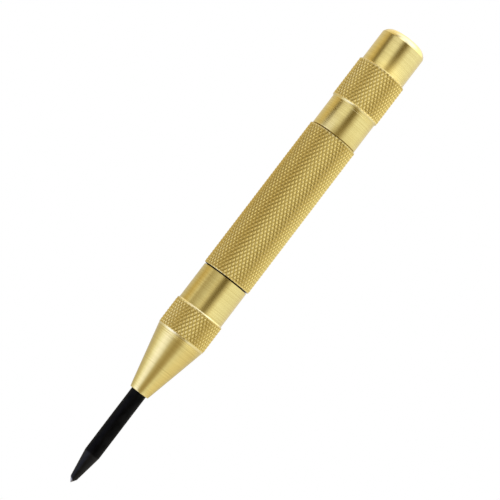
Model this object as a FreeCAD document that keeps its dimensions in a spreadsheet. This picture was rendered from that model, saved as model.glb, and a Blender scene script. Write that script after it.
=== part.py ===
"""An automatic center punch: a sprung hammer inside a knurled brass handle strikes a steel punch.

All sizes are in millimetres. The tool stands on its point, with the point at the origin and +Z up
the tool towards the adjusting cap. Every piece is a turned part, drawn as half a section on its own
XZ plane and revolved about Z, and each sits at its own height by its Placement.
"""
import FreeCAD, Part
import math
import os
import re

import Sketcher

# The driving sizes: name, value, what it is. A gap is radial, and so is a wall or a step.
SIZES = [
    # punch
    ("tip_flat_dia", 0.2, "flat worn on the very point"),
    ("tip_dia", 1.8, "large end of the ground point"),
    ("tip_len", 1.25, "length of the ground point"),
    ("taper_len", 6.95, "taper from the ground point up to the shank"),
    ("punch_dia", 4.0, "shank of the punch"),
    ("punch_reach", 26.0, "how far the punch stands out of the nose"),
    ("punch_guide_len", 14.0, "shank held in the nose, up to the head"),
    ("punch_head_step", 1.1, "head that stops the punch falling out, over the shank"),
    ("punch_head_len", 2.0, "thickness of that head"),
    ("punch_tail_len", 2.0, "shank above the head"),
    ("socket_gap", 0.2, "trip pin in the socket on the punch"),
    ("socket_depth", 3.0, "depth of that socket"),
    ("stroke", 9.0, "travel of the punch until the hammer trips"),
    ("slide_gap", 0.05, "punch in the guide bore of the nose"),
    ("head_gap", 0.1, "punch head in its chamber"),
    # trip pin
    ("pin_dia", 2.4, "stem of the trip pin"),
    ("pin_foot_flat", 0.1, "flat left inside the rounding of the foot, which the pin rocks on"),
    ("pin_foot_gap", 0.02, "foot of the pin over the floor of its socket"),
    ("pin_top_gap", 0.05, "top of the pin under the face of the hammer"),
    ("pin_chamfer", 0.2, "chamfer on the top of the pin"),
    ("lean_gap", 0.1, "space left between the leaning pin and the throat"),
    ("flange_room", 0.5, "space round the flange, which lets it lean"),
    ("flange_len", 1.0, "thickness of the flange that carries the return spring"),
    ("flange_height", 0.6, "flange above the lower end of the barrel"),
    ("centring_gap", 0.1, "shoulder of the pin in the throat"),
    ("centring_len", 3.5, "length of the shoulder that centres the pin"),
    # nose
    ("mouth_wall", 0.475, "brass round the guide bore at the mouth of the nose"),
    ("cone_len", 16.0, "length of the cone"),
    ("cone_step", 0.175, "knurled ring over the large end of the cone"),
    ("nose_step", 0.025, "knurled ring of the nose over the grip"),
    ("nose_ring_len", 7.15, "length of the knurled ring"),
    ("ring_chamfer_len", 0.58, "length of the turned chamfer at the end of a knurled ring"),
    ("nose_wall", 0.975, "wall of the plain band of the nose round its thread"),
    ("nose_band_len", 9.42, "length of the plain band with its chamfer"),
    ("nose_gap", 0.35, "open joint between the nose and the barrel"),
    ("edge", 0.2, "chamfer on turned edges"),
    # barrel
    ("chamber_dia", 7.2, "bore of the barrel above and below the throat"),
    ("barrel_wall", 2.75, "wall of the grip, out to the crests of its knurl"),
    ("grip_len", 40.95, "length of the knurled grip"),
    ("lower_thread_len", 8.5, "lower screwed spigot of the barrel"),
    ("upper_thread_len", 9.85, "upper screwed spigot of the barrel"),
    ("return_room", 2.0, "space left for the return spring at the end of the stroke"),
    ("throat_room", 0.85, "stem of the trip pin in the throat when it stands straight"),
    ("throat_len", 2.5, "thickness of the wall that the throat goes through"),
    ("throat_entry", 0.7, "chamfer on the lower side of the throat"),
    # threads
    ("thread_pitch", 1.0, "pitch of both screwed joints"),
    ("thread_wall", 0.7, "wall of the barrel under its outside threads"),
    ("crest_gap", 0.16, "crest of the inside thread to the root of the outside thread"),
    ("root_gap", 0.125, "crest of the outside thread to the root of the inside thread"),
    ("male_root_half", 0.08, "half width of the flat root of the outside threads"),
    ("female_root_half", 0.06, "half width of the flat root of the inside threads"),
    ("relief_len", 1.2, "length of a run-out groove"),
    # hammer and springs
    ("hammer_gap", 0.1, "hammer in its chamber"),
    ("hammer_len", 22.0, "length of the hammer, without its spigot"),
    ("hole_gap", 0.15, "trip pin in the hammer's blind hole"),
    ("strike_gap", 0.3, "hole shorter than the stroke, so that its floor strikes the pin"),
    ("hammer_spigot_len", 3.0, "length of the spigot on the hammer"),
    ("spring_room", 0.2, "main spring in the chamber"),
    ("spigot_gap", 0.2, "spigots inside the main spring"),
    ("main_wire_dia", 1.1, "wire of the main spring"),
    ("main_turns", 13.5, "turns of the main spring"),
    ("return_wire_dia", 0.35, "wire of the return spring"),
    ("return_turns", 4.0, "turns of the return spring"),
    ("return_spring_gap", 0.15, "space under the return spring for the lean of the flange"),
    ("spring_end_gap", 0.02, "space left at each other end of a spring"),
    # cap
    ("cap_gap", 0.15, "joint between the barrel and the cap when screwed home"),
    ("cap_band_wall", 0.95, "wall of the plain band at the foot of the cap round its thread"),
    ("cap_band_len", 7.85, "length of that band"),
    ("cap_step", 0.025, "grip over the knurled ring of the cap"),
    ("cap_ring_len", 10.35, "length of the knurled ring"),
    ("cap_top_step", 0.475, "knurled ring over the plain top of the cap"),
    ("cap_top_len", 9.54, "length of the plain top"),
    ("cap_round", 2.5, "rounding of the end of the cap"),
    ("cap_bore_step", 0.1, "bore of the cap above its thread over the bore of the barrel"),
    ("cap_wall", 3.7, "thickness of the end of the cap"),
    ("cap_thread_len", 11.2, "depth of the threaded bore of the cap"),
    ("seat_gap", 0.1, "spring seat in the cap"),
    ("seat_len", 1.0, "thickness of the spring seat"),
    ("seat_spigot_len", 2.0, "length of the spigot under the spring seat"),
]
NAMES = {name for name, value, note in SIZES}

# Sizes that follow from the ones above, so that what fits together stays together.
TIED = {
    "punch_head_dia": "punch_dia + 2 * punch_head_step",
    "socket_dia": "pin_dia + 2 * socket_gap",
    "pin_foot_round": "pin_dia / 2 - pin_foot_flat",
    "throat_dia": "pin_dia + 2 * throat_room",
    "centring_dia": "throat_dia - 2 * centring_gap",
    "flange_dia": "chamber_dia - 2 * flange_room",
    "lower_bore_len": "flange_height + flange_len + stroke + return_room",
    "barrel_dia": "chamber_dia + 2 * barrel_wall",
    "nose_mouth_dia": "punch_dia + 2 * slide_gap + 2 * mouth_wall",
    "nose_knurl_dia": "barrel_dia + 2 * nose_step",
    "cone_dia": "nose_knurl_dia - 2 * cone_step",
    "cap_knurl_dia": "barrel_dia - 2 * cap_step",
    "cap_top_dia": "cap_knurl_dia - 2 * cap_top_step",
    "thread_depth": "0.625 * thread_pitch",
    "male_root_dia": "chamber_dia + 2 * thread_wall",
    "male_dia": "male_root_dia + 2 * thread_depth",
    "female_crest_dia": "male_root_dia + 2 * crest_gap",
    "female_dia": "male_dia + 2 * root_gap",
    "nose_band_dia": "female_dia + 2 * nose_wall",
    "cap_band_dia": "female_dia + 2 * cap_band_wall",
    "cap_bore_dia": "chamber_dia + 2 * cap_bore_step",
    "hammer_hole_dia": "pin_dia + 2 * hole_gap",
    "hammer_hole_depth": "stroke - strike_gap",
    "main_spring_dia": "chamber_dia - 2 * spring_room",
    "spigot_dia": "main_spring_dia - 2 * main_wire_dia - 2 * spigot_gap",
}

# Heights above the point, in words of the sizes above.
HEAD_Z = "punch_reach + punch_guide_len"
SOCKET_Z = f"{HEAD_Z} + punch_head_len + punch_tail_len - socket_depth"
RING_Z = "punch_reach + cone_len"
NOSE_BAND_Z = f"{RING_Z} + nose_ring_len"
NOSE_TOP_Z = f"{NOSE_BAND_Z} + ring_chamfer_len + nose_band_len"
GRIP_Z = f"{NOSE_TOP_Z} + nose_gap"
BARREL_Z = f"{GRIP_Z} - lower_thread_len"
THROAT_Z = f"{BARREL_Z} + lower_bore_len"
CHAMBER_Z = f"{THROAT_Z} + throat_len"
GRIP_TOP_Z = f"{GRIP_Z} + grip_len"
CAP_Z = f"{GRIP_TOP_Z} + cap_gap"
CAP_LEN = "cap_band_len + 2 * ring_chamfer_len + cap_ring_len + cap_top_len"
CAP_FLOOR_Z = f"{CAP_Z} + {CAP_LEN} - cap_wall"
SEAT_Z = f"{CAP_FLOOR_Z} - seat_len"

doc = FreeCAD.newDocument("center_punch")
sheet = doc.addObject("Spreadsheet::Sheet", "Sizes")
for row, (name, value, note) in enumerate(SIZES, start=1):
    sheet.set(f"A{row}", note)
    sheet.set(f"B{row}", str(value))
    sheet.setAlias(f"B{row}", name)
doc.recompute()


def cell(word):
    """What a word of an expression stands for: a cell of the sheet, a tied size, or itself."""
    if word in NAMES:
        return f"Sizes.{word}"
    if word in TIED:
        return f"({bound(TIED[word])})"
    return word


def bound(text):
    """The expression with each size in it pointed at the sheet."""
    return re.sub(r"[a-z_]+", lambda match: cell(match[0]), text)


def new_body(label, height):
    """An empty body with its own name, whose Placement lifts it to its height in the tool."""
    body = doc.addObject("PartDesign::Body", label)
    body.Label = label
    body.setExpression("Placement.Base.z", bound(height))
    return body


def section(body, name, corners):
    """A closed outline on the body's XZ plane. A corner is (radius, height), each an expression."""
    plane = next(item for item in body.Origin.OriginFeatures if item.Role == "XZ_Plane")
    sketch = body.newObject("Sketcher::SketchObject", name)
    sketch.AttachmentSupport = (plane, [""])
    sketch.MapMode = "FlatFace"
    count = len(corners)
    turns = [2 * math.pi * k / count for k in range(count)]
    start = [FreeCAD.Vector(10 + 5 * math.cos(turn), 10 + 5 * math.sin(turn), 0) for turn in turns]
    for k in range(count):
        sketch.addGeometry(Part.LineSegment(start[k], start[(k + 1) % count]), False)
    for k in range(count):
        sketch.addConstraint(Sketcher.Constraint("Coincident", k, 2, (k + 1) % count, 1))
    for k, (radius, height) in enumerate(corners):
        for kind, text, axis in (("DistanceX", radius, -2), ("DistanceY", height, -1)):
            if text == "0":
                sketch.addConstraint(Sketcher.Constraint("PointOnObject", k, 1, axis))
            else:
                index = sketch.addConstraint(Sketcher.Constraint(kind, -1, 1, k, 1, 1.0))
                sketch.setExpression(f"Constraints[{index}]", bound(text))
    return sketch


def turn(body, corners):
    """Revolves an outline about the tool's axis into the solid of a turned part."""
    sketch = section(body, f"{body.Label}_section", corners)
    feature = body.newObject("PartDesign::Revolution", f"{body.Label}_turned")
    feature.Profile = sketch
    feature.ReferenceAxis = (sketch, ["V_Axis"])
    feature.Angle = 360
    doc.recompute()
    return feature


def cut_thread(body, name, corners, height):
    """Cuts a right-hand helical groove of the given section, rising by height."""
    before = body.Shape.Volume
    sketch = section(body, f"{name}_section", corners)
    feature = body.newObject("PartDesign::SubtractiveHelix", name)
    feature.Profile = sketch
    feature.ReferenceAxis = (sketch, ["V_Axis"])
    feature.Mode = "pitch-height-angle"
    feature.setExpression("Pitch", bound("thread_pitch"))
    feature.setExpression("Height", bound(height))
    doc.recompute()
    if not body.Shape.Volume < before:
        raise ValueError(f"{name} cut nothing")


def male_groove(middle):
    """Section of the groove between outside threads, its middle at a height."""
    reach = "male_dia / 2 + edge"
    widen = "(male_dia / 2 + edge - male_root_dia / 2) * tan(30 deg)"
    return [
        ("male_root_dia / 2", f"{middle} - male_root_half"),
        (reach, f"{middle} - male_root_half - {widen}"),
        (reach, f"{middle} + male_root_half + {widen}"),
        ("male_root_dia / 2", f"{middle} + male_root_half"),
    ]


def female_groove(middle):
    """Section of the groove between inside threads, its middle at a height."""
    reach = "female_crest_dia / 2 - edge"
    widen = "(female_dia / 2 - female_crest_dia / 2 + edge) * tan(30 deg)"
    return [
        ("female_dia / 2", f"{middle} - female_root_half"),
        ("female_dia / 2", f"{middle} + female_root_half"),
        (reach, f"{middle} + female_root_half + {widen}"),
        (reach, f"{middle} - female_root_half - {widen}"),
    ]


def coil(label, height, radius, wire, rise, turns):
    """A spring: round wire swept up a helix."""
    body = new_body(label, height)
    plane = next(item for item in body.Origin.OriginFeatures if item.Role == "XZ_Plane")
    sketch = body.newObject("Sketcher::SketchObject", f"{label}_wire")
    sketch.AttachmentSupport = (plane, [""])
    sketch.MapMode = "FlatFace"
    sketch.addGeometry(Part.Circle(FreeCAD.Vector(3, 1, 0), FreeCAD.Vector(0, 0, 1), 0.3), False)
    for kind, text in (("DistanceX", radius), ("DistanceY", f"{wire} / 2")):
        index = sketch.addConstraint(Sketcher.Constraint(kind, -1, 1, 0, 3, 1.0))
        sketch.setExpression(f"Constraints[{index}]", bound(text))
    index = sketch.addConstraint(Sketcher.Constraint("Diameter", 0, 1.0))
    sketch.setExpression(f"Constraints[{index}]", bound(wire))
    feature = body.newObject("PartDesign::AdditiveHelix", f"{label}_coil")
    feature.Profile = sketch
    feature.ReferenceAxis = (sketch, ["V_Axis"])
    feature.Mode = "height-turns-angle"
    feature.setExpression("Height", bound(rise))
    feature.setExpression("Turns", bound(turns))
    doc.recompute()
    return body


def round_edge(body, feature, name, height, rounding):
    """Rounds the widest circular edge at a height of the body's own frame."""
    circles = []
    for number, edge in enumerate(feature.Shape.Edges, start=1):
        if isinstance(edge.Curve, Part.Circle) and abs(edge.Curve.Center.z - height) < 1e-4:
            circles.append((edge.Curve.Radius, f"Edge{number}"))
    fillet = body.newObject("PartDesign::Fillet", name)
    fillet.Base = (feature, [max(circles)[1]])
    fillet.setExpression("Radius", bound(rounding))
    doc.recompute()


def make_punch():
    """The steel punch: ground point, taper, shank, head, and the socket for the trip pin."""
    body = new_body("punch_point", "0")
    turn(body, [
        ("0", "0"),
        ("tip_flat_dia / 2", "0"),
        ("tip_dia / 2", "tip_len"),
        ("punch_dia / 2", "tip_len + taper_len"),
        ("punch_dia / 2", HEAD_Z),
        ("punch_head_dia / 2 - edge", HEAD_Z),
        ("punch_head_dia / 2", f"{HEAD_Z} + edge"),
        ("punch_head_dia / 2", f"{HEAD_Z} + punch_head_len - edge"),
        ("punch_head_dia / 2 - edge", f"{HEAD_Z} + punch_head_len"),
        ("punch_dia / 2", f"{HEAD_Z} + punch_head_len"),
        ("punch_dia / 2", f"{SOCKET_Z} + socket_depth - edge"),
        ("punch_dia / 2 - edge", f"{SOCKET_Z} + socket_depth"),
        ("socket_dia / 2", f"{SOCKET_Z} + socket_depth"),
        ("socket_dia / 2", SOCKET_Z),
        ("0", SOCKET_Z),
    ])


def make_nose():
    """The brass nose: cone, knurled ring and plain band, screwed onto the lower end of the barrel."""
    body = new_body("nose_cone", "punch_reach")
    ring = "cone_len"
    band = f"{ring} + nose_ring_len + ring_chamfer_len"
    top = f"{band} + nose_band_len"
    seat = f"{BARREL_Z} - punch_reach"
    guide = "punch_dia / 2 + slide_gap"
    chamber = "punch_head_dia / 2 + head_gap"
    turn(body, [
        (f"{guide} + edge / 2", "0"),
        ("nose_mouth_dia / 2 - edge / 2", "0"),
        ("nose_mouth_dia / 2", "edge / 2"),
        ("cone_dia / 2", ring),
        ("nose_knurl_dia / 2", f"{ring} + edge"),
        ("nose_knurl_dia / 2", f"{ring} + nose_ring_len"),
        ("nose_band_dia / 2", band),
        ("nose_band_dia / 2", f"{top} - edge"),
        ("nose_band_dia / 2 - edge", top),
        ("female_dia / 2 + edge", top),
        ("female_crest_dia / 2", f"{top} - (female_dia - female_crest_dia) / 2 - edge"),
        ("female_crest_dia / 2", f"{seat} + relief_len"),
        ("female_dia / 2", f"{seat} + relief_len"),
        ("female_dia / 2", seat),
        (chamber, seat),
        (chamber, "punch_guide_len"),
        (guide, "punch_guide_len"),
        (guide, "edge / 2"),
    ])
    middle = f"{seat} + relief_len / 2"
    cut_thread(body, "nose_thread", female_groove(middle), "lower_thread_len + thread_pitch")


def make_barrel():
    """The brass barrel: knurled grip between two screwed spigots, with a throat across its bore."""
    body = new_body("barrel", BARREL_Z)
    bore = "chamber_dia / 2"
    grip = "lower_thread_len"
    shoulder = f"{grip} + grip_len"
    top = f"{shoulder} + upper_thread_len"
    thread_edge = "male_dia / 2 - male_root_dia / 2"
    turn(body, [
        (f"{bore} + edge", "0"),
        ("male_root_dia / 2", "0"),
        ("male_dia / 2", thread_edge),
        ("male_dia / 2", f"{grip} - relief_len"),
        ("male_root_dia / 2", f"{grip} - relief_len"),
        ("male_root_dia / 2", grip),
        ("barrel_dia / 2 - edge", grip),
        ("barrel_dia / 2", f"{grip} + edge"),
        ("barrel_dia / 2", f"{shoulder} - edge"),
        ("barrel_dia / 2 - edge", shoulder),
        ("male_root_dia / 2", shoulder),
        ("male_root_dia / 2", f"{shoulder} + relief_len"),
        ("male_dia / 2", f"{shoulder} + relief_len"),
        ("male_dia / 2", f"{top} - ({thread_edge})"),
        ("male_root_dia / 2", top),
        (f"{bore} + edge", top),
        (bore, f"{top} - edge"),
        (bore, "lower_bore_len + throat_len"),
        ("throat_dia / 2", "lower_bore_len + throat_len"),
        ("throat_dia / 2", "lower_bore_len + throat_entry"),
        ("throat_dia / 2 + throat_entry", "lower_bore_len"),
        (bore, "lower_bore_len"),
        (bore, "edge"),
    ])
    # the nose's groove starts half a pitch away, so that the threads mesh
    nose_start = "relief_len / 2"
    lower = f"{nose_start} - 1.5 * thread_pitch"
    cut_thread(body, "lower_thread", male_groove(lower), f"{grip} - relief_len / 2 - ({lower})")
    upper = f"{shoulder} + relief_len / 2"
    cut_thread(body, "upper_thread", male_groove(upper), "upper_thread_len + thread_pitch")


def make_hammer():
    """The steel hammer, with the blind hole that drops over the trip pin."""
    body = new_body("hammer", CHAMBER_Z)
    radius = "chamber_dia / 2 - hammer_gap"
    hole = "hammer_hole_dia / 2"
    top = "hammer_len"
    turn(body, [
        (f"{hole} + edge", "0"),
        (f"{radius} - edge", "0"),
        (radius, "edge"),
        (radius, f"{top} - edge"),
        (f"{radius} - edge", top),
        ("spigot_dia / 2", top),
        ("spigot_dia / 2", f"{top} + hammer_spigot_len - 2 * edge"),
        ("spigot_dia / 2 - edge", f"{top} + hammer_spigot_len"),
        ("0", f"{top} + hammer_spigot_len"),
        ("0", "hammer_hole_depth"),
        (hole, "hammer_hole_depth"),
        (hole, "edge"),
    ])


def make_trip_pin():
    """The trip pin, which leans at rest and is centred by the throat at the end of the stroke."""
    foot = f"{SOCKET_Z} + pin_foot_gap"
    flange = f"{BARREL_Z} + flange_height - ({foot})"
    centring = f"{flange} + flange_len"
    shoulder = f"{centring} + centring_len"
    length = f"{CHAMBER_Z} - pin_top_gap - ({foot})"
    # it leans until the side of its stem is nearly at the top of the throat
    lean = f"asin((throat_room - lean_gap) / ({length} - pin_foot_round))"
    body = new_body("trip_pin", f"{foot} + pin_foot_round * (1 - cos({lean}))")
    body.Placement.Rotation = FreeCAD.Rotation(FreeCAD.Vector(0, 1, 0), 1)
    body.setExpression("Placement.Base.x", bound(f"-pin_foot_round * sin({lean})"))
    body.setExpression("Placement.Rotation.Angle", bound(lean))
    stem = turn(body, [
        ("0", "0"),
        ("pin_dia / 2", "0"),
        ("pin_dia / 2", flange),
        ("flange_dia / 2 - edge", flange),
        ("flange_dia / 2", f"{flange} + edge"),
        ("flange_dia / 2", f"{centring} - edge"),
        ("flange_dia / 2 - edge", centring),
        ("centring_dia / 2", centring),
        ("centring_dia / 2", shoulder),
        ("pin_dia / 2", f"{shoulder} + (centring_dia - pin_dia) / 2"),
        ("pin_dia / 2", f"{length} - pin_chamfer"),
        ("pin_dia / 2 - pin_chamfer", length),
        ("0", length),
    ])
    round_edge(body, stem, "trip_pin_foot", 0, "pin_foot_round")


def make_springs():
    """The return spring under the throat and the main spring over the hammer."""
    bottom = f"{BARREL_Z} + flange_height + flange_len + return_spring_gap"
    rise = f"{THROAT_Z} - spring_end_gap - return_wire_dia - ({bottom})"
    mean = "(flange_dia - return_wire_dia) / 2"
    coil("return_spring", bottom, mean, "return_wire_dia", rise, "return_turns")
    bottom = f"{CHAMBER_Z} + hammer_len + spring_end_gap"
    rise = f"{SEAT_Z} - spring_end_gap - main_wire_dia - ({bottom})"
    mean = "(main_spring_dia - main_wire_dia) / 2"
    coil("main_spring", bottom, mean, "main_wire_dia", rise, "main_turns")


def make_seat():
    """The steel seat between the main spring and the end of the cap."""
    body = new_body("spring_seat", f"{SEAT_Z} - seat_spigot_len")
    radius = "cap_bore_dia / 2 - seat_gap"
    disc = "seat_spigot_len"
    turn(body, [
        ("0", "0"),
        ("spigot_dia / 2 - edge", "0"),
        ("spigot_dia / 2", "2 * edge"),
        ("spigot_dia / 2", disc),
        (f"{radius} - edge", disc),
        (radius, f"{disc} + edge"),
        (radius, f"{disc} + seat_len - edge"),
        (f"{radius} - edge", f"{disc} + seat_len"),
        ("0", f"{disc} + seat_len"),
    ])


def make_cap():
    """The brass adjusting cap: plain band, knurled ring and rounded top, screwed onto the barrel."""
    body = new_body("adjusting_cap", CAP_Z)
    ring = "cap_band_len + ring_chamfer_len"
    ring_top = f"{ring} + cap_ring_len"
    top = CAP_LEN
    turned = turn(body, [
        ("female_dia / 2 + edge", "0"),
        ("cap_band_dia / 2 - edge", "0"),
        ("cap_band_dia / 2", "edge"),
        ("cap_band_dia / 2", "cap_band_len"),
        ("cap_knurl_dia / 2", ring),
        ("cap_knurl_dia / 2", ring_top),
        ("cap_top_dia / 2", f"{ring_top} + ring_chamfer_len"),
        ("cap_top_dia / 2", top),
        ("0", top),
        ("0", f"{top} - cap_wall"),
        ("cap_bore_dia / 2", f"{top} - cap_wall"),
        ("cap_bore_dia / 2", "cap_thread_len"),
        ("female_dia / 2", "cap_thread_len"),
        ("female_dia / 2", "cap_thread_len - relief_len"),
        ("female_crest_dia / 2", "cap_thread_len - relief_len"),
        ("female_crest_dia / 2", "(female_dia - female_crest_dia) / 2 + edge"),
    ])
    round_edge(body, turned, "adjusting_cap_end", turned.Shape.BoundBox.ZMax, "cap_round")
    # half a pitch off the barrel's groove, and below the mouth so that it runs in from outside
    start = "relief_len / 2 - cap_gap - 1.5 * thread_pitch"
    rise = f"cap_thread_len - relief_len / 2 - ({start})"
    cut_thread(body, "cap_thread", female_groove(start), rise)


make_punch()
make_nose()
make_barrel()
make_trip_pin()
make_hammer()
make_springs()
make_seat()
make_cap()
doc.recompute()

bodies = [item for item in doc.Objects if item.TypeId == "PartDesign::Body"]
for item in doc.Objects:
    if "Invalid" in item.State or "Error" in item.State:
        raise ValueError(f"{item.Name} failed: {item.State}")
for body in bodies:
    if body.Shape.isNull() or not body.Shape.isValid() or len(body.Shape.Solids) != 1:
        raise ValueError(f"{body.Label} isn't one valid solid")

os.makedirs("parts", exist_ok=True)
for body in bodies:
    body.Shape.exportStep(f"parts/{body.Label}.step")
    box = body.Shape.BoundBox
    print(f"{body.Label:14s} z {box.ZMin:7.2f} to {box.ZMax:7.2f}  volume {body.Shape.Volume:8.2f}")
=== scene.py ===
"""Looks of the automatic center punch: turned and knurled brass, a black punch, and its studio.

The outlines below are in millimetres, with Z up the tool as in the CAD, and meshes are made in metres.
"""
import math

import bpy
import numpy as np
from mathutils import Matrix, Vector


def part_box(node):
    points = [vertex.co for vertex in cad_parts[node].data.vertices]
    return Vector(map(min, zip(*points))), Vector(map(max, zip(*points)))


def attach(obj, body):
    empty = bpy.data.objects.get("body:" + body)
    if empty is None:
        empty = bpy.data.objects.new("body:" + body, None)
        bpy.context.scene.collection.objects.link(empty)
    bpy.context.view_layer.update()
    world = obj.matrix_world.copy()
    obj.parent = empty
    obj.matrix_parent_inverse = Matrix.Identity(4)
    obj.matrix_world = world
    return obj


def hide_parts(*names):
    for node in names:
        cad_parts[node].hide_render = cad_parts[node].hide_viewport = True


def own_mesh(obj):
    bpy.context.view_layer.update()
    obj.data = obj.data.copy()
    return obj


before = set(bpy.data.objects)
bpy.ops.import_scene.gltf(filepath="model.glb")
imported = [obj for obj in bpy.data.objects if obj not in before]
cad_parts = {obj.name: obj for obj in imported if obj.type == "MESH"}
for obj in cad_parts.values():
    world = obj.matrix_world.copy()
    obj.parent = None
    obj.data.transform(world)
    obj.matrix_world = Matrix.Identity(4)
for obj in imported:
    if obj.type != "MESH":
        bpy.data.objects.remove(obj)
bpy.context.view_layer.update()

MM = 0.001


def span(node):
    """(lowest height, highest height, radius) of a CAD node that is turned about Z."""
    low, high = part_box(node)
    return low[2] / MM, high[2] / MM, high[0] / MM


NOSE_Z, NOSE_TOP_Z, NOSE_R = span("nose_cone")
BARREL_Z, BARREL_TOP_Z, BARREL_R = span("barrel")
CAP_Z, CAP_TOP_Z, CAP_R = span("adjusting_cap")
PUNCH_Z, PUNCH_TOP_Z, PUNCH_HEAD_R = span("punch_point")
HAMMER_Z = span("hammer")[0]

# the CAD's own sizes, in millimetres
EDGE = 0.2
PITCH = 1.0
RELIEF = 1.2
BORE_R = 3.6
GUIDE_R = 2.05
MALE_ROOT_R = 4.3
MALE_R = 4.925
FEMALE_CREST_R = 4.46
FEMALE_R = 5.05
MALE_ROOT_HALF = 0.08
FEMALE_ROOT_HALF = 0.06
FLANK = math.tan(math.radians(30))
LOW_SPIGOT = 8.5
HIGH_SPIGOT = 9.85
CAP_GAP = 0.15
CONE_LEN = 16.0
GUIDE_LEN = 14.0
SHANK_R = 2.0
# every groove of an outside thread starts this far below the one inside its mate
THREAD_SHIFT = 1.5 * PITCH

# finer than the CAD's: the chamfers at the ends of the knurled rings
RING_CHAMFER = 0.36

# knurl: diamonds from two sets of helical grooves
STARTS = 43
KNURL_PITCH = 1.6
KNURL_DEPTH = 0.2
KNURL_END = 0.04
KNURL_RELIEF = 0.8
STEPS = 4

# how open a surface is: 1 outside, 0 to 0.8 in the knurl, below 0 inside the joints, where the brass is
# darkened with painted shade
SHADED = -0.4
JOINT = -1.0
# points round a ring, in the knurl, on plain outsides and inside
FINE = STARTS * 2 * STEPS
PLAIN = FINE // 2
INNER = 96
# further away than any end of a thread, for an end that isn't tapered
NO_END = 1000


class Turned:
    """Rings of points up the outside of a turned piece, over its top and down its bore."""

    def __init__(self):
        self.rings = []

    # a ring's last number is a painted highlight: how far its brass is brightened towards a pale cream, for
    # the bright lines on edges and chamfers
    def ring(self, radius, height, count=PLAIN, relief=1.0, painted_highlight=0.0):
        self.rings.append((radius, height, count, relief, painted_highlight))

    def path(self, corners, count=PLAIN, relief=1.0, painted_highlight=0.0):
        for radius, height in corners:
            self.ring(radius, height, count, relief, painted_highlight)

    def male_thread(self, bottom, top, middle, low_end, high_end):
        """Outside thread, its groove's middle at a height on +X, tapered to the root at its open ends."""
        for height in np.linspace(bottom, top, round((top - bottom) / PITCH * 8) + 1):
            away = groove_distance(height, middle)
            radius = np.clip(MALE_ROOT_R + (away - MALE_ROOT_HALF) / FLANK, MALE_ROOT_R, MALE_R)
            taper = MALE_ROOT_R + min(height - low_end, high_end - height)
            self.ring(np.minimum(radius, max(taper, MALE_ROOT_R)), height, INNER)

    def female_thread(self, top, bottom, middle, low_mouth, high_mouth):
        """Inside thread, drawn downwards, opened out to its root at a mouth."""
        for height in np.linspace(top, bottom, round((top - bottom) / PITCH * 8) + 1):
            away = groove_distance(height, middle)
            radius = np.clip(FEMALE_R - (away - FEMALE_ROOT_HALF) / FLANK, FEMALE_CREST_R, FEMALE_R)
            mouth = FEMALE_R + EDGE - min(height - low_mouth, high_mouth - height)
            self.ring(np.maximum(radius, mouth), height, INNER)

    def knurl(self, bottom, top, crest, low_chamfer, high_chamfer):
        """Knurled band. A chamfer is (radius at its outer edge, its height, its rise) and cuts the knurl."""
        step = KNURL_PITCH / (2 * STEPS)
        heights = list(np.arange(bottom, top, step))
        turn = np.arange(FINE) * STARTS / FINE
        for height in heights[1:] + [top]:
            along = (height - bottom) / KNURL_PITCH
            rise = np.minimum(ridge(turn + along), ridge(turn - along))
            inset = min(height - bottom, top - height)
            depth = min(KNURL_END + 0.5 * inset, KNURL_DEPTH)
            rise = 1 - (0.5 + 0.5 * np.cos(math.pi * rise)) * depth / KNURL_DEPTH
            radius = crest - KNURL_DEPTH * (1 - rise)
            limit = crest
            for edge_radius, edge_height, slope in (low_chamfer, high_chamfer):
                limit = min(limit, edge_radius + slope * abs(height - edge_height))
            cut = radius > limit
            relief = KNURL_RELIEF * rise
            # where a chamfer cuts the knurl, its crests get a painted highlight
            self.ring(np.minimum(radius, limit), height, FINE, relief, np.where(cut, 0.35, 0.0))

    def mesh(self, name, closed=True):
        """The mesh: its outline is a closed loop, or runs from a point on the axis to another."""
        points, faces, reliefs, painted_highlights, starts = [], [], [], [], []
        total = 0
        for radius, height, count, relief, painted_highlight in self.rings:
            angle = np.arange(count) * 2 * math.pi / count
            radius = np.broadcast_to(radius, count)
            points.append(np.column_stack((
                radius * np.cos(angle), radius * np.sin(angle), np.full(count, height))))
            reliefs.append(np.broadcast_to(relief, count))
            painted_highlights.append(np.broadcast_to(painted_highlight, count))
            starts.append(total)
            total += count
        pairs = list(zip(range(len(self.rings) - 1), range(1, len(self.rings))))
        if closed:
            pairs.append((len(self.rings) - 1, 0))
        for a, b in pairs:
            counts = self.rings[a][2], self.rings[b][2]
            if counts[0] == counts[1]:
                faces.extend(band(starts[a], starts[b], counts[0], points[a], points[b]))
            else:
                faces.extend(zipper(starts[a], starts[b], *counts))
        if not closed:
            for ring, order in ((0, 1), (len(self.rings) - 1, -1)):
                count = self.rings[ring][2]
                points.append(np.array([[0, 0, self.rings[ring][1]]]))
                reliefs.append(np.ones(1))
                painted_highlights.append(np.zeros(1))
                for k in range(count):
                    side = (starts[ring] + (k + 1) % count, starts[ring] + k)[::order]
                    faces.append((total,) + side)
                total += 1
        mesh = bpy.data.meshes.new(name)
        mesh.from_pydata((np.vstack(points) * MM).tolist(), [], faces)
        for label, values in (("relief", reliefs), ("painted_highlight", painted_highlights)):
            attribute = mesh.attributes.new(label, "FLOAT", "POINT")
            attribute.data.foreach_set("value", np.concatenate(values).astype(np.float32))
        mesh.update()
        return mesh


def groove_distance(height, middle):
    """How far each point of a ring is from the middle of a right-hand groove, along Z."""
    turn = np.arange(INNER) / INNER
    phase = (height - middle) / PITCH - turn
    return np.abs(phase - np.round(phase)) * PITCH


def ridge(phase):
    """0 on the grooves at whole numbers and 1 half way between them."""
    return 1 - np.abs(2 * (phase - np.floor(phase)) - 1)


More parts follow.
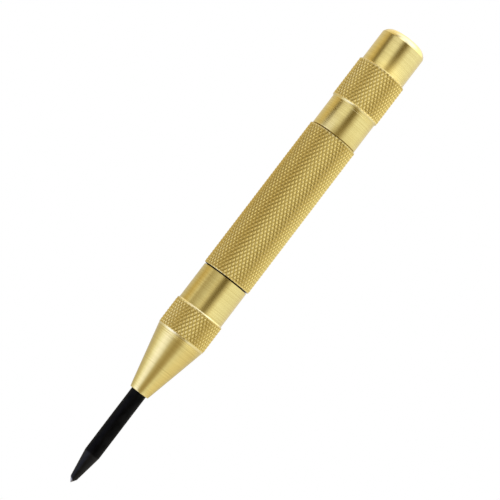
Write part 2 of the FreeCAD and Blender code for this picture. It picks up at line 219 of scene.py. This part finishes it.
def band(low, high, count, low_points, high_points):
    """Faces between two rings with as many points, split along the straighter diagonal if not flat."""
    k = np.arange(count)
    after = (k + 1) % count
    a, b, c, d = low + k, low + after, high + after, high + k
    low_r = np.hypot(low_points[:, 0], low_points[:, 1])
    high_r = np.hypot(high_points[:, 0], high_points[:, 1])
    if np.ptp(low_r) < 1e-6 and np.ptp(high_r) < 1e-6:
        return list(zip(a.tolist(), b.tolist(), c.tolist(), d.tolist()))
    rising = low_r[k] + high_r[after] <= low_r[after] + high_r[k]
    first = np.where(rising[:, None], np.column_stack((a, b, c)), np.column_stack((a, b, d)))
    second = np.where(rising[:, None], np.column_stack((a, c, d)), np.column_stack((b, c, d)))
    return [tuple(face) for face in np.vstack((first, second)).tolist()]


def zipper(low, high, low_count, high_count):
    """Faces between two rings with different numbers of points."""
    faces = []
    i = j = 0
    while i < low_count or j < high_count:
        a, d = low + i % low_count, high + j % high_count
        if (i + 1) * high_count <= (j + 1) * low_count:
            faces.append((a, low + (i + 1) % low_count, d))
            i += 1
        else:
            faces.append((a, high + (j + 1) % high_count, d))
            j += 1
    return faces


def line_groove(height, radius, slope=0.0, width=0.1, depth=0.03):
    """Corners of a fine turned line cut in a band or, with a slope, in a cone."""
    return [
        (radius - slope * width / 2, height - width / 2),
        (radius - depth, height),
        (radius + slope * width / 2, height + width / 2),
    ]


def finish_piece(mesh, name, body, material, node):
    """An object from a mesh, shaded smooth between sharp edges, that stands for a CAD node."""
    mesh.polygons.foreach_set("use_smooth", [True] * len(mesh.polygons))
    mesh.set_sharp_from_angle(angle=math.radians(24))
    piece = bpy.data.objects.new(name, mesh)
    bpy.context.scene.collection.objects.link(piece)
    mesh.materials.append(material)
    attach(piece, body)
    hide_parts(node)
    return piece


def nose_mesh():
    """Cone, knurled ring, plain band, and the bores that guide the punch and take the barrel."""
    ring, ring_top = NOSE_Z + CONE_LEN, NOSE_Z + CONE_LEN + 7.15
    cone_r, band_r, mouth_r, bore_r = NOSE_R - 0.12, 6.025, 2.525, 3.2
    slope = (cone_r - mouth_r) / (ring - NOSE_Z)
    root = NOSE_R - KNURL_END
    chamfer = (NOSE_R - band_r) / RING_CHAMFER
    top = NOSE_TOP_Z
    piece = Turned()
    piece.path([(GUIDE_R + EDGE / 2, NOSE_Z), (mouth_r - EDGE / 2, NOSE_Z)], painted_highlight=0.6)
    piece.path([(mouth_r, NOSE_Z + EDGE / 2)], painted_highlight=0.3)
    for height in np.linspace(NOSE_Z + 1.0, ring - 1.6, 12):
        piece.ring(mouth_r + slope * (height - NOSE_Z), height)
    for height in (ring - 1.0, ring - 0.6):
        piece.path(line_groove(height, mouth_r + slope * (height - NOSE_Z), slope))
    piece.path([(cone_r - 0.02, ring - 0.08), (cone_r, ring)], painted_highlight=1.0)
    piece.knurl(ring, ring_top + KNURL_END / chamfer, NOSE_R,
                (cone_r, ring, 0.875), (root, ring_top + KNURL_END / chamfer, chamfer))
    piece.path([(root, ring_top + KNURL_END / chamfer + 0.01)], painted_highlight=0.5)
    piece.path([(band_r + 0.02, ring_top + RING_CHAMFER - 0.03)], painted_highlight=0.5)
    piece.path([(band_r, ring_top + RING_CHAMFER + 0.02), (band_r, top - 0.14)])
    piece.path([(band_r - 0.01, top - 0.1), (band_r - 0.08, top - 0.02)], painted_highlight=0.3)
    piece.path([(band_r - 0.12, top)], relief=JOINT)
    piece.path([(FEMALE_R + EDGE, top)], INNER, JOINT)
    seat = BARREL_Z
    piece.female_thread(top - 0.05, seat + RELIEF, seat + RELIEF / 2, -NO_END, top)
    guide = NOSE_Z + GUIDE_LEN
    piece.path([(FEMALE_R, seat + RELIEF), (FEMALE_R, seat), (bore_r, seat), (bore_r, guide)], INNER)
    piece.path([(GUIDE_R, guide), (GUIDE_R, NOSE_Z + EDGE / 2)], INNER)
    return piece.mesh("nose_cone_visual")


def barrel_mesh():
    """The knurled grip between two screwed spigots, with a throat across its bore."""
    # the grip starts a little low, so that the joint with the nose is a fine line
    grip, grip_top = BARREL_Z + LOW_SPIGOT - 0.1, BARREL_TOP_Z - HIGH_SPIGOT
    root, top_root = BARREL_R - EDGE, BARREL_R - KNURL_END
    throat, throat_top = HAMMER_Z - 2.5, HAMMER_Z
    piece = Turned()
    piece.path([(BORE_R + EDGE, BARREL_Z), (MALE_ROOT_R, BARREL_Z)], INNER)
    middle = BARREL_Z + RELIEF / 2 - THREAD_SHIFT
    piece.male_thread(BARREL_Z + 0.05, grip - RELIEF, middle, BARREL_Z, NO_END)
    piece.path([(MALE_ROOT_R, grip - RELIEF), (MALE_ROOT_R, grip)], INNER, JOINT)
    piece.path([(root - 0.05, grip)], relief=JOINT)
    piece.path([(root, grip + 0.01)], painted_highlight=0.4)
    piece.knurl(grip, grip_top, BARREL_R, (root, grip, 1.0), (top_root, grip_top, 1.0))
    piece.path([(top_root - 0.05, grip_top)], relief=SHADED)
    piece.path([(MALE_ROOT_R, grip_top), (MALE_ROOT_R, grip_top + RELIEF)], INNER, SHADED)
    middle = grip_top + RELIEF / 2
    piece.male_thread(grip_top + RELIEF, BARREL_TOP_Z - 0.05, middle, -NO_END, BARREL_TOP_Z)
    piece.path([(MALE_ROOT_R, BARREL_TOP_Z), (BORE_R + EDGE, BARREL_TOP_Z)], INNER)
    piece.path([(BORE_R, BARREL_TOP_Z - EDGE), (BORE_R, throat_top), (GUIDE_R, throat_top)], INNER)
    piece.path([(GUIDE_R, throat + 0.7), (GUIDE_R + 0.7, throat), (BORE_R, throat)], INNER)
    piece.path([(BORE_R, BARREL_Z + EDGE)], INNER)
    return piece.mesh("barrel_visual")


def cap_mesh():
    """The cap: plain band, knurled ring and rounded top, with its threaded bore."""
    ring = CAP_Z + 8.4
    ring_top = ring + 10.45
    bore_r, floor, thread_top = 3.7, CAP_TOP_Z - 3.7, CAP_Z + 11.2
    band_r, top_r, round_r = 6.0, CAP_R - 0.475, 2.5
    root = CAP_R - KNURL_END
    low_slope, high_slope = (CAP_R - band_r) / RING_CHAMFER, (CAP_R - top_r) / RING_CHAMFER
    piece = Turned()
    piece.path([(bore_r, floor), (bore_r, thread_top), (FEMALE_R, thread_top)], INNER)
    piece.path([(FEMALE_R, thread_top - RELIEF)], INNER)
    middle = CAP_Z + RELIEF / 2 - CAP_GAP - THREAD_SHIFT
    piece.female_thread(thread_top - RELIEF - 0.05, CAP_Z + 0.05, middle, CAP_Z, NO_END)
    piece.path([(FEMALE_R + EDGE, CAP_Z)], INNER, SHADED)
    piece.path([(band_r - EDGE - 0.05, CAP_Z)], relief=SHADED)
    piece.path([(band_r - EDGE, CAP_Z + 0.01), (band_r - 0.01, CAP_Z + EDGE)], painted_highlight=1.0)
    piece.path([(band_r, CAP_Z + EDGE + 0.05)])
    for height in (ring - RING_CHAMFER - 0.75, ring - RING_CHAMFER - 0.35):
        piece.path(line_groove(height, band_r))
    piece.path([(band_r, ring - RING_CHAMFER - 0.02)])
    piece.path([(band_r + 0.02, ring - RING_CHAMFER + 0.03)], painted_highlight=0.5)
    low = ring - KNURL_END / low_slope
    high = ring_top + KNURL_END / high_slope
    piece.path([(root - 0.005, low)], painted_highlight=0.5)
    piece.knurl(low, high, CAP_R, (root, low, low_slope), (root, high, high_slope))
    piece.path([(root - 0.005, high + 0.01), (top_r + 0.02, ring_top + RING_CHAMFER - 0.03)], painted_highlight=0.5)
    piece.path([(top_r, ring_top + RING_CHAMFER + 0.02)])
    # the rounding of the end is an arc that starts at a faint edge
    start = math.radians(22)
    arc_r = round_r / math.cos(start)
    for turn in np.linspace(start, math.pi / 2, 14):
        inset, drop = arc_r * (math.cos(start) - math.cos(turn)), arc_r * (1 - math.sin(turn))
        piece.ring(top_r - inset, CAP_TOP_Z - drop, painted_highlight=0.15)
    piece.path([(2.4, CAP_TOP_Z), (1.2, CAP_TOP_Z), (0.4, CAP_TOP_Z)])
    return piece.mesh("adjusting_cap_visual", closed=False)


def punch_mesh():
    """The punch: ground point, taper, shank, head and the socket for the trip pin."""
    head = NOSE_Z + GUIDE_LEN
    head_top = head + 2.0
    socket_r, socket_z = 1.4, PUNCH_TOP_Z - 3.0
    tip_r, tip, taper = 0.9, 1.25, 6.95
    piece = Turned()
    piece.path([(0.04, 0), (0.1, 0.01), (0.5, 0.635), (tip_r - 0.02, tip - 0.03)], INNER)
    for height in np.linspace(tip + 0.05, tip + taper - 0.05, 10):
        piece.ring(tip_r + (SHANK_R - tip_r) * (height - tip) / taper, height, INNER)
    piece.path([(SHANK_R, tip + taper), (SHANK_R, head), (PUNCH_HEAD_R - EDGE, head)], INNER)
    piece.path([(PUNCH_HEAD_R, head + EDGE), (PUNCH_HEAD_R, head_top - EDGE)], INNER)
    piece.path([(PUNCH_HEAD_R - EDGE, head_top), (SHANK_R, head_top)], INNER)
    piece.path([(SHANK_R, PUNCH_TOP_Z - EDGE), (SHANK_R - EDGE, PUNCH_TOP_Z)], INNER)
    piece.path([(socket_r, PUNCH_TOP_Z), (socket_r, socket_z), (0.3, socket_z)], INNER)
    return piece.mesh("punch_point_visual", closed=False)


def spring_mesh(name, node, wire, turns):
    """A coil of round wire with closed ends, as tall and as wide as the CAD's spring."""
    low, high, outer = span(node)
    mean = outer - wire / 2
    bottom, top = low + wire / 2, high - wire / 2
    count, sides = int(turns * 48), 12
    points, faces = [], []
    for k in range(count + 1):
        along = k / count
        # the pitch eases towards both ends, where the last turn closes on the next
        ease = 0.05 / turns * math.sin(4 * math.pi * along)
        height = bottom + (top - bottom) * (along - ease)
        angle = 2 * math.pi * turns * along
        for side in range(sides):
            around = 2 * math.pi * side / sides
            radius = mean + wire / 2 * math.cos(around)
            points.append((
                radius * math.cos(angle) * MM, radius * math.sin(angle) * MM,
                (height + wire / 2 * math.sin(around)) * MM))
    for k in range(count):
        for side in range(sides):
            after = (side + 1) % sides
            a, b = k * sides + side, k * sides + after
            faces.append((a, a + sides, b + sides, b))
    faces.append(tuple(range(sides)))
    faces.append(tuple(range(count * sides + sides - 1, count * sides - 1, -1)))
    mesh = bpy.data.meshes.new(name)
    mesh.from_pydata(points, [], faces)
    mesh.update()
    return mesh


# colours of the brass, as it is, with age and in its turning marks; painted shade over the knurl, in its
# grooves and inside the joints; and a painted highlight on edges, chamfers, the cap's rounding and the
# knurl's crests
BRASS = (0.82, 0.69, 0.265)
BRASS_TARNISHED = (0.73, 0.585, 0.19)
BRASS_STREAK = (0.6, 0.47, 0.15)
BRASS_KNURL_SHADE = (0.71, 0.55, 0.165)
BRASS_GROOVE_SHADE = (0.42, 0.3, 0.065)
BRASS_PAINTED_HIGHLIGHT = (0.95, 0.86, 0.5)
JOINT_PAINTED_SHADE = (0.03, 0.018, 0.006)


class Nodes:
    """The node tree of a material or world, and short ways to add to it."""

    def __init__(self, tree):
        self.tree = tree

    @property
    def shader(self):
        return self.tree.nodes["Principled BSDF"]

    def add(self, kind, **settings):
        node = self.tree.nodes.new(kind)
        for key, value in settings.items():
            setattr(node, key, value)
        return node

    def link(self, output, socket):
        self.tree.links.new(output, socket)

    def feed(self, socket, value):
        """Give a socket a number or a colour, or link an output to it."""
        if isinstance(value, (int, float)):
            socket.default_value = value
        elif isinstance(value, tuple):
            socket.default_value = value + (1.0,)
        else:
            self.link(value, socket)

    def coordinates(self, kind="Object"):
        return self.add("ShaderNodeTexCoord").outputs[kind]

    def split(self, vector):
        """The outputs X, Y and Z of a vector."""
        node = self.add("ShaderNodeSeparateXYZ")
        self.link(vector, node.inputs["Vector"])
        return node.outputs

    def noise(self, scale, detail=3.0, roughness=0.55):
        """Noise over the object's own coordinates, in metres, stretched by a scale for each axis."""
        mapping = self.add("ShaderNodeMapping")
        mapping.inputs["Scale"].default_value = scale
        self.link(self.coordinates(), mapping.inputs["Vector"])
        noise = self.add("ShaderNodeTexNoise")
        noise.inputs["Scale"].default_value = 1.0
        noise.inputs["Detail"].default_value = detail
        noise.inputs["Roughness"].default_value = roughness
        self.link(mapping.outputs["Vector"], noise.inputs["Vector"])
        return noise.outputs["Fac"]

    def remap(self, value, low, high, to_low=0.0, to_high=1.0, curve="LINEAR"):
        node = self.add("ShaderNodeMapRange", interpolation_type=curve)
        ends = ("From Min", low), ("From Max", high), ("To Min", to_low), ("To Max", to_high)
        for name, number in ends:
            node.inputs[name].default_value = number
        self.link(value, node.inputs["Value"])
        return node.outputs["Result"]

    def math(self, operation, a, b):
        node = self.add("ShaderNodeMath", operation=operation)
        self.feed(node.inputs[0], a)
        self.feed(node.inputs[1], b)
        return node.outputs["Value"]

    def mix(self, factor, a, b, blend="MIX"):
        node = self.add("ShaderNodeMix", data_type="RGBA", blend_type=blend)
        self.feed(node.inputs[0], factor)
        self.feed(node.inputs[6], a)
        self.feed(node.inputs[7], b)
        return node.outputs[2]

    def attribute(self, name):
        return self.add("ShaderNodeAttribute", attribute_name=name).outputs["Fac"]

    def bump(self, height, strength, distance):
        node = self.add("ShaderNodeBump")
        node.inputs["Strength"].default_value = strength
        node.inputs["Distance"].default_value = distance
        self.link(height, node.inputs["Height"])
        self.link(node.outputs["Normal"], self.shader.inputs["Normal"])

    def seen_white(self, colour):
        """Plain white where the camera sees it, and the colour where it lights the tool."""
        seen = self.add("ShaderNodeLightPath").outputs["Is Camera Ray"]
        return self.mix(seen, colour, (1.0, 1.0, 1.0))

    def round_about(self, direction, stops):
        """Colour by the angle round Z. A stop is (degrees from the front, + to the right; level; warmth)."""
        parts = self.split(direction)
        turn = self.math("ARCTAN2", parts["X"], self.math("MULTIPLY", parts["Y"], -1.0))
        place = self.math("ADD", self.math("MULTIPLY", turn, 0.5 / math.pi), 0.5)
        ramp = self.add("ShaderNodeValToRGB")
        self.link(place, ramp.inputs["Fac"])
        elements = ramp.color_ramp.elements
        elements.remove(elements[1])
        for k, (degrees, level, warm) in enumerate(stops):
            position = (degrees + 180) / 360
            element = elements[0] if k == 0 else elements.new(position)
            element.position = position
            tint = (1.0, 1.06 - 0.3 * max(warm, 0), 1.2 - 0.85 * warm)
            element.color = tuple(level * part / RAMP_SCALE for part in tint) + (1.0,)
        return self.mix(1.0, ramp.outputs["Color"], (RAMP_SCALE,) * 3, "MULTIPLY"), parts["Z"]


def new_material(name):
    """A material and the helper for its nodes."""
    material = bpy.data.materials.new(name)
    material.use_nodes = True
    return material, Nodes(material.node_tree)


def brass_material():
    """Brass turned on a lathe: rings round it, patches of tarnish, painted shade over the knurl, olive in
    its grooves and near black inside the joints, and painted highlights on edges and crests.
    """
    material, brass = new_material("brass_turned")
    shader = brass.shader
    shader.inputs["Metallic"].default_value = 1.0
    relief, painted_highlight = brass.attribute("relief"), brass.attribute("painted_highlight")
    rings = brass.noise((25, 25, 3600), 3.0, 0.6)
    fine = brass.noise((60, 60, 9000), 2.0, 0.5)
    cloud = brass.noise((130, 130, 80), 4.0, 0.6)
    turned = brass.math("ADD", brass.math("MULTIPLY", rings, 0.6), brass.math("MULTIPLY", fine, 0.4))
    tarnish = brass.remap(cloud, 0.4, 0.7, 0.0, 0.3)
    base = brass.mix(tarnish, BRASS, BRASS_TARNISHED)
    streak = brass.remap(turned, 0.43, 0.6, 0.0, 0.6)
    base = brass.mix(streak, base, BRASS_STREAK)
    # painted shade: the knurl's grooves are darkened to an olive brown, and the whole knurled band a little,
    # for the shade in its hollows
    groove = brass.remap(relief, 0.0, 0.33, 0.75, 0.0)
    knurled = brass.remap(relief, KNURL_RELIEF, 1.0, 1.0, 0.0)
    base = brass.mix(brass.math("MULTIPLY", knurled, 0.8), base, BRASS_KNURL_SHADE)
    base = brass.mix(groove, base, BRASS_GROOVE_SHADE)
    # painted highlight: the knurl's crests and the rings marked for it are brightened to a pale cream
    crest = brass.math("MULTIPLY", brass.remap(relief, 0.4, 0.75, 0.0, 0.3), knurled)
    base = brass.mix(brass.math("MAXIMUM", brass.math("MULTIPLY", painted_highlight, 0.7), crest), base, BRASS_PAINTED_HIGHLIGHT)
    # painted shade: faces inside the joints are darkened to near black, fully at JOINT and partly where
    # SHADED
    joint_shade = brass.remap(relief, JOINT, -0.05, 1.0, 0.0)
    base = brass.mix(joint_shade, base, JOINT_PAINTED_SHADE)
    brass.link(base, shader.inputs["Base Color"])
    rough = brass.remap(turned, 0.35, 0.65, 0.17, 0.26)
    rough = brass.math("ADD", rough, brass.math("MULTIPLY", groove, 0.2))
    rough = brass.math("ADD", rough, brass.math("MULTIPLY", knurled, 0.14))
    brass.link(rough, shader.inputs["Roughness"])
    shader.inputs["Anisotropic"].default_value = 0.4
    shader.inputs["Anisotropic Rotation"].default_value = 0.25
    tangent = brass.add("ShaderNodeTangent", direction_type="RADIAL", axis="Z")
    brass.link(tangent.outputs["Tangent"], shader.inputs["Tangent"])
    brass.bump(turned, 0.2, 0.00002)
    return material


def punch_material():
    """Black oxide over a turned shank, ground bright at the point."""
    material, steel = new_material("black_oxide_ground_point")
    shader = steel.shader
    parts = steel.split(steel.coordinates())
    edge_noise = steel.noise((900, 900, 900), 3.0)
    edge = steel.math("ADD", parts["Z"], steel.math("MULTIPLY", edge_noise, 0.0003))
    edge = steel.math("ADD", edge, steel.math("MULTIPLY", parts["X"], 0.6))
    oxide = steel.remap(edge, 0.0007, 0.0009)
    cloud = steel.noise((500, 500, 260), 5.0, 0.65)
    rings = steel.noise((60, 60, 9000), 3.0, 0.6)
    black = steel.mix(steel.remap(cloud, 0.3, 0.7), (0.0006, 0.0006, 0.0007), (0.0022, 0.002, 0.0018))
    bright = steel.mix(rings, (0.2, 0.2, 0.2), (0.45, 0.45, 0.44))
    steel.link(steel.mix(oxide, bright, black), shader.inputs["Base Color"])
    steel.link(steel.math("SUBTRACT", 1.0, oxide), shader.inputs["Metallic"])
    rough = steel.remap(cloud, 0.3, 0.7, 0.4, 0.6)
    rough = steel.math("SUBTRACT", rough, steel.math("MULTIPLY", rings, 0.08))
    steel.link(rough, shader.inputs["Roughness"])
    taper = steel.remap(parts["Z"], 0.0078, 0.0083, 1.26, 1.11)
    shader.inputs["IOR"].default_value = 1.15
    patchy = steel.math("MULTIPLY", steel.remap(cloud, 0.4, 0.6, 0.0, 0.06), oxide)
    steel.link(steel.math("ADD", taper, patchy), shader.inputs["IOR"])
    steel.bump(rings, 0.3, 0.00001)
    return material


def steel_material(name, dark, light, roughness, stretch):
    """Ground or drawn steel with a thin film of oil: fine scratches and a clouded tone."""
    material, steel = new_material(name)
    shader = steel.shader
    shader.inputs["Metallic"].default_value = 1.0
    cloud = steel.noise((220, 220, 220), 4.0, 0.6)
    scratches = steel.noise(stretch, 3.0, 0.6)
    tone = steel.math("ADD", steel.math("MULTIPLY", cloud, 0.5), steel.math("MULTIPLY", scratches, 0.5))
    steel.link(steel.mix(steel.remap(tone, 0.35, 0.65), dark, light), shader.inputs["Base Color"])
    rough = steel.remap(scratches, 0.3, 0.7, roughness - 0.07, roughness + 0.08)
    steel.link(rough, shader.inputs["Roughness"])
    shader.inputs["Coat Weight"].default_value = 0.15
    shader.inputs["Coat Roughness"].default_value = 0.12
    steel.bump(scratches, 0.25, 0.00001)
    return material


def build_pieces():
    """Every visible piece, each riding its CAD body."""
    brass = brass_material()
    ground = steel_material("ground_steel", (0.36, 0.36, 0.37), (0.58, 0.58, 0.58), 0.3, (60, 60, 7000))
    spring = steel_material("spring_steel", (0.2, 0.2, 0.22), (0.38, 0.38, 0.4), 0.34, (900, 900, 3000))
    finish_piece(nose_mesh(), "nose_cone_visual", "barrel", brass, "nose_cone")
    finish_piece(barrel_mesh(), "barrel_visual", "barrel", brass, "barrel")
    finish_piece(cap_mesh(), "adjusting_cap_visual", "cap", brass, "adjusting_cap")
    black = punch_material()
    finish_piece(punch_mesh(), "punch_point_visual", "punch", black, "punch_point")
    coil = spring_mesh("main_spring_visual", "main_spring", 1.1, 13.5)
    main = finish_piece(coil, "main_spring_visual", "spring_seat", spring, "main_spring")
    coil = spring_mesh("return_spring_visual", "return_spring", 0.35, 4.0)
    back = finish_piece(coil, "return_spring_visual", "barrel", spring, "return_spring")
    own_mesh(main)
    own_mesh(back)
    for node in ("trip_pin", "hammer", "spring_seat"):
        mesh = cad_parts[node].data
        mesh.materials.clear()
        mesh.materials.append(ground)


# a colour ramp holds at most 1, so its colours are divided and its output multiplied by this
RAMP_SCALE = 2.0

# the room as the upper part of the tool mirrors it, then the lower part, then the floor under the cone
ROOM = [
    (-180, 0.80, 0.5), (-125, 0.80, 0.5), (-100, 0.76, 0.8), (-86, 0.52, 0.9), (-76, 0.2, 1.0),
    (-67, 0.3, 0.8), (-56, 0.84, 0.3), (-30, 1.0, 0.15), (-16, 0.92, 0.2), (-5, 0.4, 0.5),
    (3, 0.17, 1.0), (15, 0.2, 1.0), (30, 0.7, 0.4), (46, 1.04, 0.1), (95, 1.06, 0.1), (130, 0.95, 0.25),
    (180, 0.8, 0.4),
]
LOW_ROOM = [
    (-180, 0.7, 0.4), (-125, 0.68, 0.5), (-100, 0.62, 0.9), (-84, 0.8, 0.6), (-72, 0.95, 0.3),
    (-63, 0.6, 0.5), (-52, 0.38, 0.7), (-38, 0.4, 0.6), (-24, 0.5, 0.6), (-13, 0.46, 0.8), (-5, 0.2, 1.0),
    (3, 0.1, 1.1), (13, 0.1, 1.1), (28, 0.66, 0.4), (40, 0.98, 0.1), (95, 0.98, 0.1), (130, 0.9, 0.3),
    (180, 0.75, 0.4),
]
FLOOR = [
    (-180, 0.6, 0.4), (-125, 0.65, 0.4), (-100, 0.84, 0.3), (-80, 1.15, -0.2), (-58, 1.32, -0.5),
    (-38, 1.1, -0.4), (-20, 0.6, 0.5), (0, 0.42, 0.8), (18, 0.5, 0.7), (40, 0.92, 0.25), (70, 0.96, 0.4),
    (110, 0.86, 0.5), (180, 0.6, 0.4),
]

# soft lights overhead: height of a direction where each starts and is full, and its colour
OVERHEAD = [(0.36, 0.56, (0.64, 0.58, 0.46)), (0.75, 0.95, (0.25, 0.5, 1.7))]


def world_light():
    """A soft studio round the tool: bright on the right, grey on the left, dark by the camera."""
    world = bpy.data.worlds.new("studio")
    bpy.context.scene.world = world
    world.use_nodes = True
    light = Nodes(world.node_tree)
    direction = light.coordinates("Generated")
    colour, height = light.round_about(direction, ROOM)
    side = light.remap(light.split(direction)["X"], -0.8, 0.0, 0.25, 1.0, curve="SMOOTHSTEP")
    for low, high, tint in OVERHEAD:
        overhead = light.math("MULTIPLY", light.remap(height, low, high, curve="SMOOTHSTEP"), side)
        colour = light.mix(overhead, colour, tint, "ADD")
    light.link(light.seen_white(colour), world.node_tree.nodes["Background"].inputs["Color"])


def glowing(name):
    """An emitting material, its node helper, its emission node and the socket of its output."""
    material, light = new_material(name)
    light.tree.nodes.clear()
    surface = light.add("ShaderNodeOutputMaterial").inputs["Surface"]
    return material, light, light.add("ShaderNodeEmission"), surface


def floor():
    """A white floor that glows: plain white where the camera sees it, so that it shows no edge against the
    backdrop, and for the tool a lamp whose brightness and tint vary round it.
    """
    bpy.ops.mesh.primitive_plane_add(size=6.0, location=(0, 0, 0))
    plane = bpy.context.object
    plane.name = "floor"
    material, light, glow, surface = glowing("white_floor")
    colour = light.round_about(light.coordinates(), FLOOR)[0]
    light.link(light.seen_white(colour), glow.inputs["Color"])
    light.link(glow.outputs["Emission"], surface)
    plane.data.materials.append(material)


def low_screen():
    """A low ring of studio screens, out of the camera's sight, which the lower half of the tool mirrors."""
    radius, low, high = 0.08, 0.035, 0.1
    bpy.ops.mesh.primitive_cylinder_add(
        vertices=128, radius=radius, depth=high - low, end_fill_type="NOTHING",
        location=(0, 0, (low + high) / 2))
    screen = bpy.context.object
    screen.name = "low_screen"
    screen.visible_camera = False
    material, light, glow, surface = glowing("screen")
    colour, place = light.round_about(light.coordinates(), LOW_ROOM)
    light.link(colour, glow.inputs["Color"])
    clear = light.add("ShaderNodeBsdfTransparent")
    # its upper part fades out, so that no edge of it shows in the brass
    fade = light.add("ShaderNodeMixShader")
    light.link(light.remap(place, 0.004, 0.024, curve="SMOOTHSTEP"), fade.inputs[0])
    light.link(glow.outputs["Emission"], fade.inputs[1])
    light.link(clear.outputs["BSDF"], fade.inputs[2])
    light.link(fade.outputs["Shader"], surface)
    screen.data.materials.append(material)


def camera():
    """The camera, level with the nose, looking a little up the tool and rolled so that it lies aslant."""
    distance, foot, aim, aside = 0.55, 0.032, 0.0679, 0.0005
    roll = math.radians(37.3)
    data = bpy.data.cameras.new("camera")
    data.sensor_width = 36.0
    data.lens = 170.4
    data.clip_start = 0.01
    eye = Vector((0, -distance, foot))
    look = (Vector((aside, 0, aim)) - eye).normalized()
    right = look.cross(Vector((0, 0, 1))).normalized()
    up = right.cross(look)
    across = math.cos(roll) * right + math.sin(roll) * up
    upward = math.cos(roll) * up - math.sin(roll) * right
    item = bpy.data.objects.new("camera", data)
    item.matrix_world = Matrix((
        (across.x, upward.x, -look.x, eye.x),
        (across.y, upward.y, -look.y, eye.y),
        (across.z, upward.z, -look.z, eye.z),
        (0, 0, 0, 1),
    ))
    bpy.context.scene.collection.objects.link(item)
    bpy.context.scene.camera = item


build_pieces()
floor()
low_screen()
world_light()
camera()
bpy.context.scene.view_settings.view_transform = "Standard"
